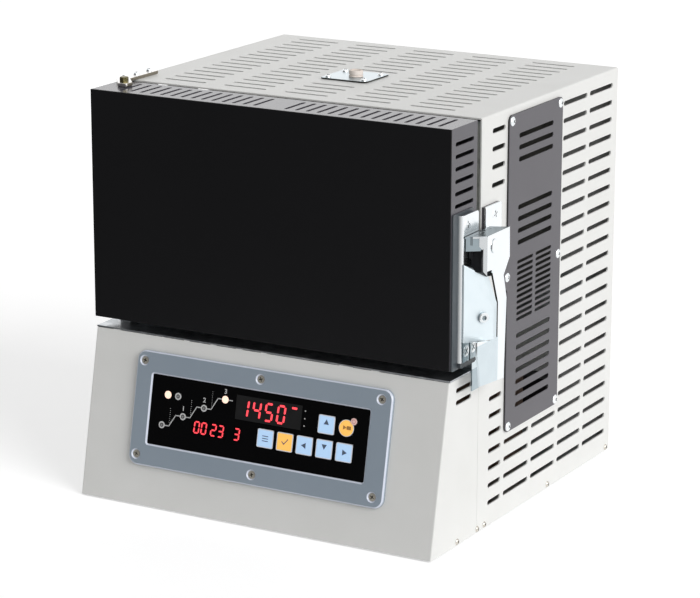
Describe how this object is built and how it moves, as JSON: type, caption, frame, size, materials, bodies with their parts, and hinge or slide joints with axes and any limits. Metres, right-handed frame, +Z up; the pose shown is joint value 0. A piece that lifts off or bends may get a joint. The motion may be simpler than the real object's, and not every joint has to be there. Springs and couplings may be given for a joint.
{
  "type": "dental sintering furnace",
  "caption": "Bench furnace for firing dental crowns: a side-hinged insulated door with a lever latch, a slotted shell, a fired chamber and a slanted key panel.",
  "frame": {"origin": "centre of the bounding box's underside, on the bench under the furnace", "axes": "+X to the right as seen by the user, where the door latch is; +Y from the door to the rear; +Z up"},
  "size_m": [0.4276, 0.4068, 0.4231],
  "materials": {
    "white_coat": "white textured powder coat",
    "black_coat": "satin black film and coat",
    "dark_grey_coat": "matt dark grey powder coat",
    "blue_grey_coat": "satin blue-grey coat",
    "galvanised_sheet": "zinc-coated steel sheet",
    "polished_zinc": "bright zinc-plated steel",
    "ceramic_fibre": "matt ceramic fibre board",
    "seal_rope": "woven fibre seal, olive grey",
    "alumina": "fired alumina, pinkish white",
    "heating_alloy": "dark heat-proof element",
    "gloss_black": "glossy black membrane front",
    "display_red": "dark red display window",
    "key_blue": "light blue membrane key",
    "key_orange": "light orange membrane key",
    "circuit_board": "green solder mask",
    "black_plastic": "moulded black plastic",
    "iron_core": "varnished laminated core and winding",
    "black_rubber": "moulded black rubber"
  },
  "bodies": {
    "housing": {"outer_cover": "white_coat", "rear_panel": "white_coat", "front_frame": "galvanised_sheet", "seal_frame": "seal_rope", "mouth_collar": "alumina", "inner_casing": "galvanised_sheet", "insulation_muffle": "ceramic_fibre", "hearth_plate": "alumina", "heating_element_1": "heating_alloy", "heating_element_2": "heating_alloy", "heating_element_3": "heating_alloy", "heating_element_4": "heating_alloy", "thermocouple_plate": "polished_zinc", "thermocouple_sheath": "alumina", "bay_divider": "galvanised_sheet", "side_cover": "dark_grey_coat", "fan_frame": "black_plastic", "fan_guard": "galvanised_sheet", "power_inlet": "black_plastic", "switch_frame": "black_plastic", "bottom_pan": "galvanised_sheet", "foot_1": "black_rubber", "foot_2": "black_rubber", "foot_3": "black_rubber", "foot_4": "black_rubber", "transformer": "iron_core", "power_relay": "black_plastic", "base_housing": "white_coat", "base_top_plate": "galvanised_sheet", "panel_bezel": "blue_grey_coat", "control_panel": "gloss_black", "main_display": "display_red", "time_display": "display_red", "step_display": "display_red", "control_board": "circuit_board", "hinge_strap_top": "polished_zinc", "hinge_strap_bottom": "polished_zinc", "hinge_pin_top": "polished_zinc", "hinge_pin_bottom": "polished_zinc", "keeper_bracket": "polished_zinc", "keeper_pin": "polished_zinc"},
    "door": {"door_shell": "dark_grey_coat", "door_front_panel": "black_coat", "door_back_plate": "galvanised_sheet", "door_insulation": "ceramic_fibre", "latch_door_bracket": "polished_zinc", "latch_pivot_pin": "polished_zinc"},
    "latch": {"latch_lever": "polished_zinc", "latch_guard": "polished_zinc", "latch_bolt": "polished_zinc"},
    "fan": {"fan_rotor": "black_plastic"},
    "rocker": {"switch_rocker": "black_plastic"},
    "key_program_cap": {"key_program": "key_blue"},
    "key_confirm_cap": {"key_confirm": "key_orange"},
    "key_left_cap": {"key_left": "key_blue"},
    "key_down_cap": {"key_down": "key_blue"},
    "key_right_cap": {"key_right": "key_blue"},
    "key_up_cap": {"key_up": "key_blue"},
    "key_start_cap": {"key_start": "key_orange"}
  },
  "joints": [
    {"name": "door_hinge", "type": "hinge", "parent": "housing", "child": "door", "pos_m": [-0.19375, -0.14175, 0.2955], "axis": [0, 0, -1], "range_deg": [0, 110]},
    {"name": "latch_lever_pivot", "type": "hinge", "parent": "door", "child": "latch", "pos_m": [0.21125, -0.12975, 0.296], "axis": [-1, 0, 0], "range_deg": [0, 50]},
    {"name": "fan_spin", "type": "hinge", "parent": "housing", "child": "fan", "pos_m": [-0.11375, 0.18025, 0.092], "axis": [0, 1, 0], "continuous": true},
    {"name": "mains_rocker", "type": "hinge", "parent": "housing", "child": "rocker", "pos_m": [0.04625, 0.19695, 0.06], "axis": [-1, 0, 0], "range_deg": [0, 20]},
    {"name": "key_program_press", "type": "slide", "parent": "housing", "child": "key_program_cap", "axis": [0, 0.9795, -0.2017], "range_m": [0, 0.0005], "stiffness_N_per_m": 4000, "springref_m": -0.0002},
    {"name": "key_confirm_press", "type": "slide", "parent": "housing", "child": "key_confirm_cap", "axis": [0, 0.9795, -0.2017], "range_m": [0, 0.0005], "stiffness_N_per_m": 4000, "springref_m": -0.0002},
    {"name": "key_left_press", "type": "slide", "parent": "housing", "child": "key_left_cap", "axis": [0, 0.9795, -0.2017], "range_m": [0, 0.0005], "stiffness_N_per_m": 4000, "springref_m": -0.0002},
    {"name": "key_down_press", "type": "slide", "parent": "housing", "child": "key_down_cap", "axis": [0, 0.9795, -0.2017], "range_m": [0, 0.0005], "stiffness_N_per_m": 4000, "springref_m": -0.0002},
    {"name": "key_right_press", "type": "slide", "parent": "housing", "child": "key_right_cap", "axis": [0, 0.9795, -0.2017], "range_m": [0, 0.0005], "stiffness_N_per_m": 4000, "springref_m": -0.0002},
    {"name": "key_up_press", "type": "slide", "parent": "housing", "child": "key_up_cap", "axis": [0, 0.9795, -0.2017], "range_m": [0, 0.0005], "stiffness_N_per_m": 4000, "springref_m": -0.0002},
    {"name": "key_start_press", "type": "slide", "parent": "housing", "child": "key_start_cap", "axis": [0, 0.9795, -0.2017], "range_m": [0, 0.0005], "stiffness_N_per_m": 4000, "springref_m": -0.0002}
  ]
}
